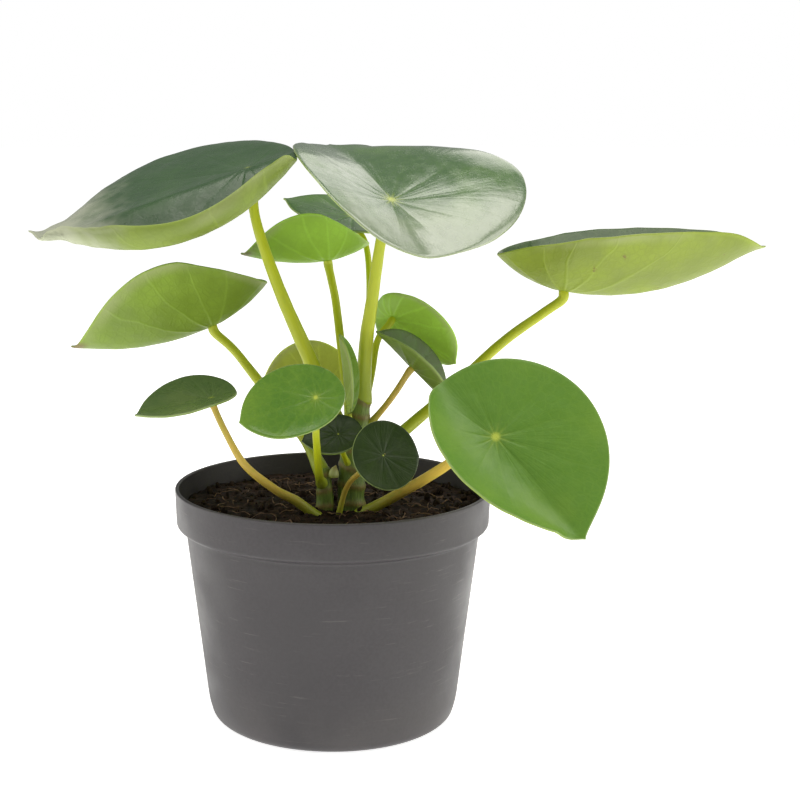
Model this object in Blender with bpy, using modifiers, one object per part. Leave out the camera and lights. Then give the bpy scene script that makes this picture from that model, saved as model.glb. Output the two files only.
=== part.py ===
"""A potted Chinese money plant: a plastic nursery pot, its soil, and a plant whose round leaves
each sit on a stalk that meets the blade from below, in from its edge.

The pot stands on z = 0, centred on the Z axis. The plant's widest row of leaves runs along X.
"""
import math
from dataclasses import dataclass

import bmesh
import bpy
from mathutils import Euler, Vector

MM = 0.001                # every size below is in millimetres or degrees

# ---- driving dimensions -------------------------------------------------------------------
GAP = 0.3                 # clearance between pieces that touch
TURN_STEPS = 48           # segments of the turned pieces

RIM_RADIUS = 60.0         # outside of the pot's rim band
POT_HEIGHT = 90.0
BAND_FOOT = 76.0          # height at which the rim band begins
WALL = 1.5
BAND_STEP = 4.0           # how far the rim band stands out from the body
BODY_TOP_RADIUS = RIM_RADIUS - BAND_STEP
FOOT_RADIUS = 48.0        # body radius above the rounded foot
BASE_RADIUS = 44.0        # flat underside
FLOOR = 2.0
HOLE_RADIUS = 4.0
HOLE_RING = 33.0
HOLES = 6

SOIL_CROWN = 83.5         # soil height around the stems
SOIL_EDGE = 81.5          # soil height at the pot's wall

BLADE = 1.2               # blade thickness
FOLD_START = 0.12         # part of a half's width over which its fold sets in
CURL_START = 0.72         # part of the tip's length after which it curls
DRIP_SPREAD = 0.3         # half angle of the drip tip, radians
DRIP_SHARPNESS = 0.75     # below 1, so that the drip tip ends in a point
SPOKE_CROWDING = 0.5      # from 0 for even spokes, toward 1
STALK_SLACK = 0.5         # part of a stalk's radius that it stops short of a folded blade
RIB_STEPS = 12            # steps along a bent line

# ---- colours ------------------------------------------------------------------------------
POT_GREY = (0.083, 0.078, 0.082)
SOIL_BROWN = (0.038, 0.024, 0.017)
LEAF_GREEN = (0.075, 0.170, 0.040)
LEAF_DARK = (0.030, 0.060, 0.012)
STALK_GREEN = (0.390, 0.450, 0.040)
STALK_AMBER = (0.330, 0.200, 0.040)
STEM_GREEN = (0.110, 0.160, 0.020)
BRACT_PALE = (0.600, 0.640, 0.300)


@dataclass
class Leaf:
    """One blade, and the route of its stalk from below."""
    at: tuple             # where the stalk meets the blade
    length: float         # from the base to the end of the drip tip
    halves: tuple         # half widths, left and right of the midrib, looking toward the tip
    inset: float          # stalk to base, as part of the length
    heading: float        # where the tip points, from +X toward +Y
    pitch: float = 0      # tip above the stalk
    roll: float = 0       # left half lifted
    rib: tuple = (0, 0)   # upward bend of the midrib, toward the tip and toward the base
    fold: tuple = (0, 0)  # angle at which the left and the right half leave the midrib
    cup: tuple = (0, 0)   # further bend of each half, out to its margin
    edge: float = 2       # how close to the margin the cup lies
    curl: float = 0       # bend of the last part of the tip
    drip: float = 0.09    # drip tip, as part of the length
    stalk: tuple = ()     # (x, y, z, radius) along the stalk, from its foot up
    amber: bool = False   # stalk flushed with orange
    dark: bool = False    # blade in deep green
    clear: tuple = ()     # stems that the stalk is trimmed to


MAIN_STEM = ((7, -8, 79, 5.4), (7, -8, 98, 4.7), (9, -7, 114, 4.4), (11, -6, 126, 3.2))
SIDE_SHOOT = ((-3, -10, 79, 3.4), (-3, -10, 90, 3.0), (-3.5, -10, 99, 2.2))
STEMS = {"main_stem": MAIN_STEM, "side_shoot": SIDE_SHOOT}
BRACT_AT = (0.3, -11.5, 98)
BRACT_SIZE = (1.8, 4.5)   # foot radius and height

LEAVES = {
    "upper_left": Leaf(
        at=(-31, -5, 210), length=103, halves=(42, 49), inset=0.18, heading=184, pitch=-18,
        rib=(-3, 0), fold=(-55, 18), cup=(150, -8), edge=3, curl=45, drip=0.12,
        clear=("main_stem",),
        stalk=((6, -9, 108, 3.2), (1, -10, 118, 3.1), (-8, -10, 139, 2.8), (-19, -8, 164, 2.3),
               (-28, -6, 190, 1.9))),
    "crown": Leaf(
        at=(21, -15, 199), length=91, halves=(33, 55), inset=0.38, heading=115, pitch=28,
        rib=(-18, -8), fold=(21, 18), cup=(-8, -24), clear=("main_stem",),
        stalk=((11, -6, 123, 2.9), (12.5, -7, 147, 2.6), (14.5, -9, 162, 2.3),
               (17.5, -12, 184, 2.0))),
    "back_centre": Leaf(
        at=(-2, 30, 173), length=52, halves=(25, 22), inset=0.34, heading=180, pitch=-8,
        rib=(25, 28), fold=(60, 22), clear=("main_stem",),
        stalk=((7, -4, 116, 2.0), (5, 8, 127, 1.8), (3, 18, 143, 1.7), (1, 25, 158, 1.6))),
    "back_high": Leaf(
        at=(8, 51, 188), length=46, halves=(18, 20), inset=0.36, heading=168, pitch=14,
        fold=(-14, 14), clear=("main_stem",),
        stalk=((9, -1, 121, 1.6), (11, 10, 132, 1.5), (13, 22, 146, 1.3), (14.5, 35, 162, 1.3),
               (13, 46, 178, 1.2))),
    "mid_left": Leaf(
        at=(-46, 10, 150), length=82, halves=(42, 28), inset=0.33, heading=183, pitch=-24,
        rib=(32, 28), fold=(54, 22), cup=(0, 10), clear=("side_shoot",),
        stalk=((-4, -9, 97, 2.4), (-11, -2, 109, 2.2), (-24, 4, 124, 2.0), (-37, 8, 140, 1.7))),
    "low_left": Leaf(
        at=(-44, -25, 128), length=38, halves=(10, 15), inset=0.25, heading=185, pitch=-12,
        fold=(-8, 34), amber=True, clear=("soil",),
        stalk=((-4, -17, 80, 1.9), (-13, -21, 88.5, 1.8), (-21, -25, 94, 1.6),
               (-32, -28, 104, 1.4), (-39, -27, 116, 1.2))),
    "far_right": Leaf(
        at=(87, 5, 164), length=108, halves=(37, 36), inset=0.27, heading=0, pitch=-10,
        rib=(50, 38), fold=(40, 44), cup=(0, 10), curl=-30, clear=("main_stem",),
        stalk=((12, -7, 100, 2.5), (29.5, 3, 112.5, 2.3), (45, 8, 125, 2.1), (64, 9, 143, 1.9),
               (80, 6, 155.5, 1.8))),
    "front_small": Leaf(
        at=(-6, -45, 132), length=39, halves=(12, 14), inset=0.27, heading=188, pitch=-16,
        roll=-60, rib=(-5, 5), cup=(15, 15), clear=("side_shoot",),
        stalk=((-4, -11, 93, 1.8), (-5, -24, 99, 1.6), (-5.5, -33, 108, 1.4), (-6, -40, 119, 1.3))),
    "back_low": Leaf(
        at=(-6, 40, 120), length=42, halves=(24, 20), inset=0.40, heading=180, pitch=-5,
        fold=(75, 30), clear=("main_stem",),
        stalk=((6, -6, 101, 1.8), (2, 10, 105, 1.6), (-3, 28, 111, 1.5))),
    "front_right": Leaf(
        at=(56, -60, 121), length=75, halves=(33, 28), inset=0.37, heading=-38, pitch=-40,
        roll=50, fold=(0, 20), cup=(0, 45), edge=1, amber=True, clear=("soil",),
        stalk=((8, -12, 80, 2.2), (23, -22, 91, 2.0), (36, -38, 103, 1.9), (46, -50, 113, 1.8))),
    "mid_right": Leaf(
        at=(23, 14, 152), length=40, halves=(16, 16), inset=0.25, heading=-5, pitch=-35,
        roll=-50, rib=(0, 60), cup=(20, 20), clear=("main_stem", "crown", "back_high"),
        stalk=((11, -4, 118, 1.6), (14.5, 4, 131, 1.4), (17, 9, 144, 1.3))),
    "mid_right_small": Leaf(
        at=(30, -5, 136), length=38, halves=(13, 13), inset=0.47, heading=190, pitch=46,
        fold=(24, 60), edge=1, amber=True, clear=("main_stem",),
        stalk=((11, -7, 112, 1.4), (17.5, -6, 119, 1.2), (23, -5, 126, 1.2))),
    "front_dark": Leaf(
        at=(18, -35, 109), length=26, halves=(13, 13), inset=0.45, heading=20, pitch=-5,
        roll=65, cup=(10, 10), drip=0.04, amber=True, dark=True, clear=("soil",),
        stalk=((1.5, -18, 80, 1.0), (5, -20.5, 93.5, 1.0), (10, -27, 101, 1.0))),
    "inner_dark": Leaf(
        at=(2, -22, 114), length=23, halves=(9, 9), inset=0.40, heading=185, pitch=-10,
        roll=-40, cup=(15, 15), dark=True, clear=("main_stem",),
        stalk=((6, -10, 100, 1.1), (4.5, -16, 104, 1.0), (3, -20, 109, 1.0))),
    "young": Leaf(
        at=(5.5, -13, 123), length=30, halves=(6, 6), inset=0.10, heading=165, pitch=84,
        fold=(50, 50), clear=("main_stem", "upper_left"),
        stalk=((7.5, -9.5, 112, 1.2), (6, -12.5, 116, 1.1))),
}
BASAL = ("young",)        # leaves whose stalk runs into the base of the blade


# ---- helpers ------------------------------------------------------------------------------
def new_collection(name):
    collection = bpy.data.collections.new(name)
    bpy.context.scene.collection.children.link(collection)
    return collection


def paint(piece, colour, roughness):
    """Give a piece its own material."""
    material = bpy.data.materials.new(piece.name)
    material.use_nodes = True
    surface = material.node_tree.nodes["Principled BSDF"]
    surface.inputs["Base Color"].default_value = (*colour, 1.0)
    surface.inputs["Roughness"].default_value = roughness
    surface.inputs["Metallic"].default_value = 0.0
    piece.data.materials.append(material)


def new_piece(name, mesh, collection):
    piece = bpy.data.objects.new(name, mesh)
    collection.objects.link(piece)
    return piece


def make_cutter(piece):
    piece.hide_render = True
    piece.display_type = "WIRE"
    return piece


def cut_away(piece, cutter):
    """Take the cutter's volume out of the piece."""
    cut = piece.modifiers.new(cutter.name, "BOOLEAN")
    cut.operation = "DIFFERENCE"
    cut.solver = "EXACT"
    cut.object = cutter


def turned(name, profile, collection):
    """A profile of (radius, height), down its outer side, turned about the Z axis."""
    mesh = bpy.data.meshes.new(name)
    points = [(radius * MM, 0.0, height * MM) for radius, height in profile]
    mesh.from_pydata(points, [(i, i + 1) for i in range(len(points) - 1)], [])
    piece = new_piece(name, mesh, collection)
    screw = piece.modifiers.new("turn", "SCREW")
    screw.steps = TURN_STEPS
    screw.render_steps = TURN_STEPS
    screw.use_merge_vertices = True
    screw.merge_threshold = 0.00001
    return piece


# ---- pot and soil -------------------------------------------------------------------------
def pot_outside():
    """The outer side, from the rim down to the edge of the flat underside."""
    return [(RIM_RADIUS - 1.2, POT_HEIGHT), (RIM_RADIUS, POT_HEIGHT - 1),
            (RIM_RADIUS, BAND_FOOT + 2), (RIM_RADIUS - 0.6, BAND_FOOT),
            (BODY_TOP_RADIUS, BAND_FOOT - 2), (FOOT_RADIUS, 8), (FOOT_RADIUS - 1.2, 3),
            (BASE_RADIUS, 0)]


def pot_inside():
    """The inner side, from the middle of the floor up to the rim."""
    return [(0, FLOOR), (BASE_RADIUS - 1, FLOOR), (FOOT_RADIUS - WALL - 1, FLOOR + 2),
            (FOOT_RADIUS - WALL, 8), (BODY_TOP_RADIUS - WALL, BAND_FOOT - 1),
            (RIM_RADIUS - WALL, BAND_FOOT + 2.5), (RIM_RADIUS - WALL, POT_HEIGHT - 1)]


def make_pot(parts, cutters):
    pot = turned("pot", pot_inside() + pot_outside() + [(0, 0)], parts)
    for i in range(HOLES):
        angle = math.tau * (i + 0.5) / HOLES
        mesh = bpy.data.meshes.new("drain_cutter_%d" % i)
        drill = bmesh.new()
        bmesh.ops.create_cone(drill, cap_ends=True, segments=12, radius1=HOLE_RADIUS * MM,
                              radius2=HOLE_RADIUS * MM, depth=4 * FLOOR * MM)
        drill.to_mesh(mesh)
        drill.free()
        cutter = make_cutter(new_piece(mesh.name, mesh, cutters))
        cutter.location = (HOLE_RING * MM * math.cos(angle), HOLE_RING * MM * math.sin(angle), 0)
        cut_away(pot, cutter)
    paint(pot, POT_GREY, 0.55)


def soil_profile(lift=0.0):
    """The soil's outside, from the middle of its top, inside the pot's inner side."""
    top = [(0, SOIL_CROWN + lift), (20, SOIL_CROWN - 0.3 + lift), (40, SOIL_CROWN - 1 + lift),
           (RIM_RADIUS - WALL - GAP, SOIL_EDGE + lift)]
    side = [(radius - GAP, height) for radius, height in pot_inside()[5:0:-1]]
    side[-1] = (side[-1][0], FLOOR + GAP)
    return top + side + [(0, FLOOR + GAP)]


def make_soil(parts, cutters):
    paint(turned("soil", soil_profile(), parts), SOIL_BROWN, 0.95)
    return make_cutter(turned("soil_cutter", soil_profile(GAP), cutters))


# ---- stems and stalks ---------------------------------------------------------------------
def smooth_route(points, steps=4):
    """Points read from a smooth curve through the route's own points, radius included."""
    points = [Vector(point) for point in points]
    ends = [points[0] * 2 - points[1]] + points + [points[-1] * 2 - points[-2]]
    route = []
    for a, b, c, d in zip(ends, ends[1:], ends[2:], ends[3:]):
        for i in range(steps):
            t = i / steps
            route.append((b * 2 + (c - a) * t + (a * 2 - b * 5 + c * 4 - d) * t * t
                          + (b * 3 - a - c * 3 + d) * t * t * t) / 2)
    return route + [points[-1]]


def longer(route, extra):
    """The route with both of its ends moved outward."""
    route[0] += (route[0] - route[1]).normalized() * extra
    route[-1] += (route[-1] - route[-2]).normalized() * extra
    return route


def tube(name, points, collection, extra=0.0, roundness=1):
    """A tapering tube along a smooth route, made a mesh so that it can be cut. A cutter is
    larger by extra, all over."""
    curve = bpy.data.curves.new(name, "CURVE")
    curve.dimensions = "3D"
    curve.bevel_depth = MM
    curve.bevel_resolution = roundness
    curve.use_fill_caps = True
    route = longer(smooth_route(points), extra)
    spline = curve.splines.new("POLY")
    spline.points.add(len(route) - 1)
    for knot, point in zip(spline.points, route):
        knot.co = (point[0] * MM, point[1] * MM, point[2] * MM, 1.0)
        knot.radius = point[3] + extra
    guide = new_piece(name + "_guide", curve, collection)
    bpy.context.view_layer.update()
    mesh = bpy.data.meshes.new_from_object(guide.evaluated_get(bpy.context.evaluated_depsgraph_get()))
    bpy.data.objects.remove(guide)
    welded = bmesh.new()
    welded.from_mesh(mesh)
    bmesh.ops.remove_doubles(welded, verts=welded.verts, dist=0.00001)
    bmesh.ops.recalc_face_normals(welded, faces=welded.faces)
    welded.to_mesh(mesh)
    welded.free()
    mesh.name = name
    mesh.shade_smooth()
    return new_piece(name, mesh, collection)


def make_stems(parts, cutters, ground):
    """The two stems out of the soil, and a thicker copy of each for trimming the stalks."""
    bounds = {"soil": ground}
    for name, route in STEMS.items():
        stem = tube(name, route, parts, roundness=2)
        cut_away(stem, ground)
        paint(stem, STEM_GREEN, 0.5)
        bounds[name] = make_cutter(tube(name + "_cutter", route, cutters, GAP, roundness=2))
    return bounds


def make_bract(parts, bounds):
    """A pale pointed scale at the top of the side shoot."""
    mesh = bpy.data.meshes.new("bract")
    scale = bmesh.new()
    radius, height = BRACT_SIZE
    bmesh.ops.create_cone(scale, cap_ends=True, segments=8, radius1=radius * MM,
                          radius2=0.2 * MM, depth=height * MM)
    scale.to_mesh(mesh)
    scale.free()
    bract = new_piece("bract", mesh, parts)
    bract.location = Vector(BRACT_AT) * MM
    bract.rotation_euler = (math.radians(12), math.radians(14), 0)
    cut_away(bract, bounds["side_shoot"])
    paint(bract, BRACT_PALE, 0.5)


# ---- leaves -------------------------------------------------------------------------------
def turn_of(leaf):
    return Euler([math.radians(a) for a in (leaf.roll, -leaf.pitch, leaf.heading)], "XYZ")


def reach(leaf, angle):
    """From the stalk to the margin of the flat blade, at an angle from the tip."""
    drip = leaf.drip * leaf.length
    half_length = (leaf.length - drip) / 2
    half_width = leaf.halves[0] if math.sin(angle) >= 0 else leaf.halves[1]
    ahead = half_length - leaf.inset * leaf.length
    c, s = math.cos(angle), math.sin(angle)
    q = (c / half_length) ** 2 + (s / half_width) ** 2
    root = math.sqrt(q - (ahead * s / (half_length * half_width)) ** 2)
    turn = math.atan2(s, c)
    point = math.exp(-(abs(turn) / DRIP_SPREAD) ** DRIP_SHARPNESS)
    return (ahead * c / half_length ** 2 + root) / q + drip * point


def bent(leaf, x, y):
    """A point of the flat blade, x toward the tip and y to the left, on the bent blade, and the
    blade's normal there. The midrib bends first, then each half turns up from it."""
    forward = x >= 0
    end = leaf.length * ((1 - leaf.inset) if forward else leaf.inset)
    rib = math.radians(leaf.rib[0] if forward else leaf.rib[1])
    curl = math.radians(leaf.curl if forward else 0)

    def slope(part):
        return rib * part + curl * max(0.0, (part - CURL_START) / (1 - CURL_START)) ** 2

    along = rise = 0.0
    for i in range(RIB_STEPS):
        angle = slope(abs(x) / end * (i + 0.5) / RIB_STEPS)
        along += math.cos(angle) * x / RIB_STEPS
        rise += math.sin(angle) * abs(x) / RIB_STEPS
    lean = slope(abs(x) / end) * (1 if forward else -1)

    side = 0 if y >= 0 else 1
    half_length = leaf.length * (1 - leaf.drip) / 2
    ahead = half_length - leaf.inset * leaf.length
    fullness = 0.25 + 0.75 * max(0.0, 1 - ((x - ahead) / half_length) ** 2)
    width = leaf.halves[side] * fullness
    fold, cup = math.radians(leaf.fold[side]), math.radians(leaf.cup[side])

    def tilt(distance):
        start = 1 - math.exp(-distance / (FOLD_START * leaf.halves[side]))
        return fold * start + cup * min(distance / width, 1.15) ** leaf.edge

    across = lift = 0.0
    for i in range(RIB_STEPS):
        angle = tilt(abs(y) * (i + 0.5) / RIB_STEPS)
        across += math.cos(angle) * y / RIB_STEPS
        lift += math.sin(angle) * abs(y) / RIB_STEPS
    last = tilt(abs(y)) * (1 if y >= 0 else -1)

    rib_up = Vector((-math.sin(lean), 0.0, math.cos(lean)))
    point = Vector((along, across, rise)) + rib_up * lift
    normal = rib_up * math.cos(last) - Vector((0.0, math.sin(last), 0.0))
    return point, normal


def make_blade(name, leaf, parts):
    """A sphere pressed flat to the blade's outline, then bent: its poles lie at the stalk, and
    its spokes crowd toward the drip tip."""
    large = leaf.length > 60
    mesh = bpy.data.meshes.new(name)
    ball = bmesh.new()
    bmesh.ops.create_uvsphere(ball, u_segments=28 if large else 20, v_segments=10 if large else 8,
                              radius=1.0)
    for vertex in ball.verts:
        x, y, z = vertex.co
        turn = math.atan2(y, x)
        angle = turn - SPOKE_CROWDING * math.sin(turn)
        distance = reach(leaf, angle) * math.hypot(x, y)
        point, normal = bent(leaf, distance * math.cos(angle), distance * math.sin(angle))
        height = BLADE / 2 * max(-1.0, min(1.0, 2 * z))
        vertex.co = (point + normal * height) * MM
    ball.to_mesh(mesh)
    ball.free()
    mesh.shade_smooth()
    blade = new_piece(name, mesh, parts)
    blade.location = Vector(leaf.at) * MM
    blade.rotation_euler = turn_of(leaf)
    paint(blade, LEAF_DARK if leaf.dark else LEAF_GREEN, 0.35)


def stalk_route(name, leaf):
    """The stalk's own points, and its end: square to the blade just below it, or, on a basal
    leaf, in line with the midrib just before it."""
    inward = Vector((1, 0, 0)) if name in BASAL else Vector((0, 0, 1))
    inward.rotate(turn_of(leaf))
    radius = leaf.stalk[-1][3]
    short = leaf.inset * leaf.length if name in BASAL else BLADE / 2 + STALK_SLACK * radius
    tip = Vector(leaf.at) - inward * (short + GAP)
    bend = tip - inward * 2 * radius
    return leaf.stalk + ((*bend, radius), (*tip, radius))


def make_stalk(name, leaf, parts, cutters, bounds):
    route = stalk_route(name, leaf)
    stalk = tube(name + "_stalk", route, parts)
    for neighbour in leaf.clear:
        if neighbour not in bounds:
            thicker = stalk_route(neighbour, LEAVES[neighbour])
            bounds[neighbour] = make_cutter(tube(neighbour + "_cutter", thicker, cutters, GAP))
        cut_away(stalk, bounds[neighbour])
    paint(stalk, STALK_AMBER if leaf.amber else STALK_GREEN, 0.45)


def main():
    for thing in list(bpy.data.objects):
        bpy.data.objects.remove(thing)
    parts = new_collection("potted_chinese_money_plant")
    cutters = new_collection("cutters")
    make_pot(parts, cutters)
    ground = make_soil(parts, cutters)
    bounds = make_stems(parts, cutters, ground)
    make_bract(parts, bounds)
    for name, leaf in LEAVES.items():
        make_blade(name, leaf, parts)
        make_stalk(name, leaf, parts, cutters, bounds)


main()
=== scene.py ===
"""The potted Chinese money plant as it looks: a nursery pot of peat with a plant of round, glossy
leaves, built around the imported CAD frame. Lengths are in millimetres until they meet a mesh."""

import math
import random
from dataclasses import dataclass

import bmesh
import bpy
from mathutils import Euler, Matrix, Vector, noise


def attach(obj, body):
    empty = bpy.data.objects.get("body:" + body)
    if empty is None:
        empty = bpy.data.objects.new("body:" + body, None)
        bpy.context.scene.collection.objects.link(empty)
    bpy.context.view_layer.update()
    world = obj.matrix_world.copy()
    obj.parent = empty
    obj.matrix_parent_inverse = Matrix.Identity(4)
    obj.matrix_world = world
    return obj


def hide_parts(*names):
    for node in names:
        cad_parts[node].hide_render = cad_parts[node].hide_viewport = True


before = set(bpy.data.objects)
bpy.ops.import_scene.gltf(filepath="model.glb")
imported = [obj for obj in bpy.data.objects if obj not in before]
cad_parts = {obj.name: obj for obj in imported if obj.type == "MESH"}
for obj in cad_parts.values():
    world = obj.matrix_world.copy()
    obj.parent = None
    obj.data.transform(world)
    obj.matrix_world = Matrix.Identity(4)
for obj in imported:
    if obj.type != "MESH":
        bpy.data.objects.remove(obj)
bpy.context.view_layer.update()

MM = 0.001
BODY = "root"

# ---- driving dimensions, as in the CAD ------------------------------------------------------
RIM_RADIUS = 60.0
POT_HEIGHT = 90.0
BAND_FOOT = 76.0          # height at which the rim band begins
WALL = 1.5
BAND_STEP = 4.0           # how far the rim band stands out from the body
BODY_TOP_RADIUS = RIM_RADIUS - BAND_STEP
FOOT_RADIUS = 48.0        # body radius above the rounded foot
BASE_RADIUS = 44.0
FLOOR = 2.0
HOLE_RADIUS = 4.0
HOLE_RING = 33.0
HOLES = 6
SOIL_CROWN = 83.5         # soil height around the stems
SOIL_EDGE = 81.5          # soil height at the pot's wall
SOIL_GAP = 0.3            # between the soil and the pot

FOLD_START = 0.12         # part of a half's width over which its fold sets in
CURL_START = 0.72         # part of the tip's length after which it curls
END_WIDTH = 0.25          # width for the cup at a blade's two ends, as part of the full width
CUP_LIMIT = 1.15          # part of that width past which the cup bends no further
DRIP_SPREAD = 0.3         # half angle of the drip tip, radians
DRIP_SHARPNESS = 0.75     # below 1, so that the drip tip ends in a point
RIB_STEPS = 12            # steps along a bent line

# ---- dimensions of the fine surface ---------------------------------------------------------
TURN_STEPS = 160          # segments of the turned pieces
SOIL_RINGS = 56           # rings of points on the soil's top
SOIL_LUMPS = 1.3          # relief of the soil's top, in coarse lumps and in fine grain
SOIL_GRAIN = 0.9
CRUMBS = 620
FIBRES = 150
SPOKE_CROWDING = 0.6      # how much a blade's spokes crowd toward its tip, 0 for evenly spread
BLADE = 0.9               # blade thickness
VEIN_COUNT = 11           # main veins that leave the stalk, one of them the midrib
VEIN_RELIEF = 0.16        # depth of a vein's valley
WAVE_RELIEF = 0.5         # unevenness of a blade, at its margin
RIPPLE_RELIEF = 0.12      # finer unevenness all over a blade

# ---- studio, in metres ----------------------------------------------------------------------
TABLE_SIZE = 6.0          # half the side of the table
CAMERA_AT = (0.0, -0.632, 0.240)
CAMERA_DOWN = 10.5        # degrees below level
CAMERA_SENSOR = 36.0      # width of the sensor, millimetres
CAMERA_LENS = 76.5        # focal length, millimetres
CAMERA_SHIFT = 0.084      # part of the picture's width
PLANT_MIDDLE = (0.0, 0.0, 0.15)
ROOM_LIGHT = 0.28         # light of the room around the plant
FLOOR_GLOW = 0.80         # light that the white table gives off
WARM_WHITE = (1.0, 0.97, 0.90)
SOFTBOXES = {             # place, the point it faces, width and height, radiance
    "back_right_box": ((0.45, 0.96, 0.74), PLANT_MIDDLE, (0.62, 0.64), 1.15),
    "top_box": ((0.25, 0.03, 1.25), (0.25, 0.03, 0.15), (1.50, 0.84), 2.9),
    "left_box": ((-1.05, -0.10, 0.60), PLANT_MIDDLE, (0.70, 0.80), 2.7),
    "right_box": ((1.05, -0.15, 0.50), PLANT_MIDDLE, (0.70, 0.80), 2.2),
}


@dataclass
class Leaf:
    """One blade, and the route of its stalk from below."""
    at: tuple             # where the stalk meets the blade
    length: float         # from the base to the end of the drip tip
    halves: tuple         # half widths, left and right of the midrib, looking toward the tip
    inset: float          # stalk to base, as part of the length
    heading: float        # where the tip points, from +X toward +Y
    pitch: float = 0      # tip above the stalk
    roll: float = 0       # left half lifted
    rib: tuple = (0, 0)   # upward bend of the midrib, toward the tip and toward the base
    fold: tuple = (0, 0)  # angle at which the left and the right half leave the midrib
    cup: tuple = (0, 0)   # further bend of each half, out to its margin
    edge: float = 2       # how close to the margin the cup lies
    curl: float = 0       # bend of the last part of the tip
    drip: float = 0.09    # drip tip, as part of the length
    stalk: tuple = ()     # (x, y, z, radius) along the stalk, from its foot up
    amber: bool = False   # stalk flushed with orange
    dark: bool = False    # blade in deep green; nothing reads this flag


MAIN_STEM = ((7, -8, 79, 5.4), (7, -8, 98, 4.7), (9, -7, 114, 4.4), (11, -6, 126, 3.2))
SIDE_SHOOT = ((-3, -10, 79, 3.4), (-3, -10, 90, 3.0), (-3.5, -10, 99, 2.2))
BRACT_AT = (0.3, -11.5, 98)
BRACT_SIZE = (1.8, 4.5)   # foot radius and height

LEAVES = {
    "upper_left": Leaf(
        at=(-31, -5, 210), length=103, halves=(42, 49), inset=0.18, heading=184, pitch=-18,
        rib=(-3, 0), fold=(-55, 18), cup=(150, -8), edge=3, curl=45, drip=0.12,
        stalk=((6, -9, 108, 3.2), (1, -10, 118, 3.1), (-8, -10, 139, 2.8), (-19, -8, 164, 2.3),
               (-28, -6, 190, 1.9))),
    "crown": Leaf(
        at=(21, -15, 199), length=91, halves=(33, 55), inset=0.38, heading=115, pitch=28,
        rib=(-18, -8), fold=(21, 18), cup=(-8, -24),
        stalk=((11, -6, 123, 2.9), (12.5, -7, 147, 2.6), (14.5, -9, 162, 2.3),
               (17.5, -12, 184, 2.0))),
    "back_centre": Leaf(
        at=(-2, 30, 173), length=52, halves=(25, 22), inset=0.34, heading=180, pitch=-8,
        rib=(25, 28), fold=(60, 22),
        stalk=((7, -4, 116, 2.0), (5, 8, 127, 1.8), (3, 18, 143, 1.7), (1, 25, 158, 1.6))),
    "back_high": Leaf(
        at=(8, 51, 188), length=46, halves=(18, 20), inset=0.36, heading=168, pitch=14,
        fold=(-14, 14),
        stalk=((9, -1, 121, 1.6), (11, 10, 132, 1.5), (13, 22, 146, 1.3), (14.5, 35, 162, 1.3),
               (13, 46, 178, 1.2))),
    "mid_left": Leaf(
        at=(-46, 10, 150), length=82, halves=(42, 28), inset=0.33, heading=183, pitch=-24,
        rib=(32, 28), fold=(54, 22), cup=(0, 10),
        stalk=((-4, -9, 97, 2.4), (-11, -2, 109, 2.2), (-24, 4, 124, 2.0), (-37, 8, 140, 1.7))),
    "low_left": Leaf(
        at=(-44, -25, 128), length=38, halves=(10, 15), inset=0.25, heading=185, pitch=-12,
        fold=(-8, 34), amber=True,
        stalk=((-4, -17, 80, 1.9), (-13, -21, 88.5, 1.8), (-21, -25, 94, 1.6),
               (-32, -28, 104, 1.4), (-39, -27, 116, 1.2))),
    "far_right": Leaf(
        at=(87, 5, 164), length=108, halves=(37, 36), inset=0.27, heading=0, pitch=-10,
        rib=(50, 38), fold=(40, 44), cup=(0, 10), curl=-30,
        stalk=((12, -7, 100, 2.5), (29.5, 3, 112.5, 2.3), (45, 8, 125, 2.1), (64, 9, 143, 1.9),
               (80, 6, 155.5, 1.8))),
    "front_small": Leaf(
        at=(-6, -45, 132), length=39, halves=(12, 14), inset=0.27, heading=188, pitch=-16,
        roll=-60, rib=(-5, 5), cup=(15, 15),
        stalk=((-4, -11, 93, 1.8), (-5, -24, 99, 1.6), (-5.5, -33, 108, 1.4),
               (-6, -40, 119, 1.3))),
    "back_low": Leaf(
        at=(-6, 40, 120), length=42, halves=(24, 20), inset=0.40, heading=180, pitch=-5,
        fold=(75, 30),
        stalk=((6, -6, 101, 1.8), (2, 10, 105, 1.6), (-3, 28, 111, 1.5))),
    "front_right": Leaf(
        at=(56, -60, 121), length=75, halves=(33, 28), inset=0.37, heading=-38, pitch=-40,
        roll=50, fold=(0, 20), cup=(0, 45), edge=1, amber=True,
        stalk=((8, -12, 80, 2.2), (23, -22, 91, 2.0), (36, -38, 103, 1.9), (46, -50, 113, 1.8))),
    "mid_right": Leaf(
        at=(23, 14, 152), length=40, halves=(16, 16), inset=0.25, heading=-5, pitch=-35,
        roll=-50, rib=(0, 60), cup=(20, 20),
        stalk=((11, -4, 118, 1.6), (14.5, 4, 131, 1.4), (17, 9, 144, 1.3))),
    "mid_right_small": Leaf(
        at=(30, -5, 136), length=38, halves=(13, 13), inset=0.47, heading=190, pitch=46,
        fold=(24, 60), edge=1, amber=True,
        stalk=((11, -7, 112, 1.4), (17.5, -6, 119, 1.2), (23, -5, 126, 1.2))),
    "front_dark": Leaf(
        at=(18, -35, 109), length=26, halves=(13, 13), inset=0.45, heading=20, pitch=-5,
        roll=65, cup=(10, 10), drip=0.04, amber=True, dark=True,
        stalk=((1.5, -18, 80, 1.0), (5, -20.5, 93.5, 1.0), (10, -27, 101, 1.0))),
    "inner_dark": Leaf(
        at=(2, -22, 114), length=23, halves=(9, 9), inset=0.40, heading=185, pitch=-10,
        roll=-40, cup=(15, 15), dark=True,
        stalk=((6, -10, 100, 1.1), (4.5, -16, 104, 1.0), (3, -20, 109, 1.0))),
    "young": Leaf(
        at=(5.5, -13, 123), length=30, halves=(6, 6), inset=0.10, heading=165, pitch=84,
        fold=(50, 50),
        stalk=((7.5, -9.5, 112, 1.2), (6, -12.5, 116, 1.1))),
}
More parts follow.
